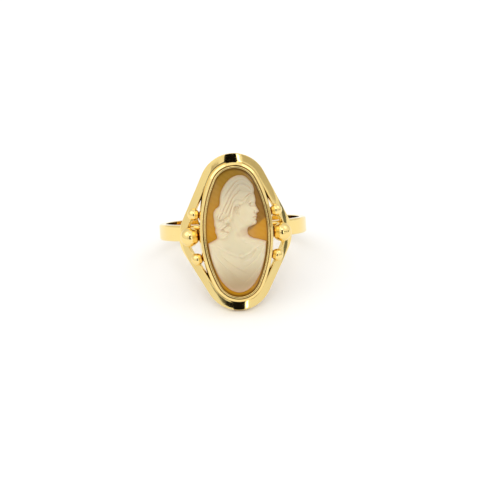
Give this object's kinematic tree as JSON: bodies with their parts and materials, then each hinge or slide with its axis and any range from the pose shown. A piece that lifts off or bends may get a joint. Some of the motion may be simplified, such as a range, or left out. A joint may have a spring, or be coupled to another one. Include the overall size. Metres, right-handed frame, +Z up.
{
  "type": "cameo ring",
  "caption": "Lady's cameo ring: carved shell bust in a gold bezel with an arched lozenge frame, granules and a plain band.",
  "frame": {"origin": "centre of the bounding box on the floor plane that the ring lies on", "axes": "+Z up from the floor; the cameo faces -Y, with its figure's head upwards; +X to the right of a viewer who looks at the cameo along +Y"},
  "size_m": [0.0192, 0.0234, 0.0184],
  "materials": {
    "gold": "polished",
    "orange_shell": "gloss",
    "white_shell": "satin"
  },
  "bodies": {
    "root": {"gold_mount": "gold", "cameo_ground": "orange_shell", "cameo_bust": "white_shell"}
  },
  "joints": []
}
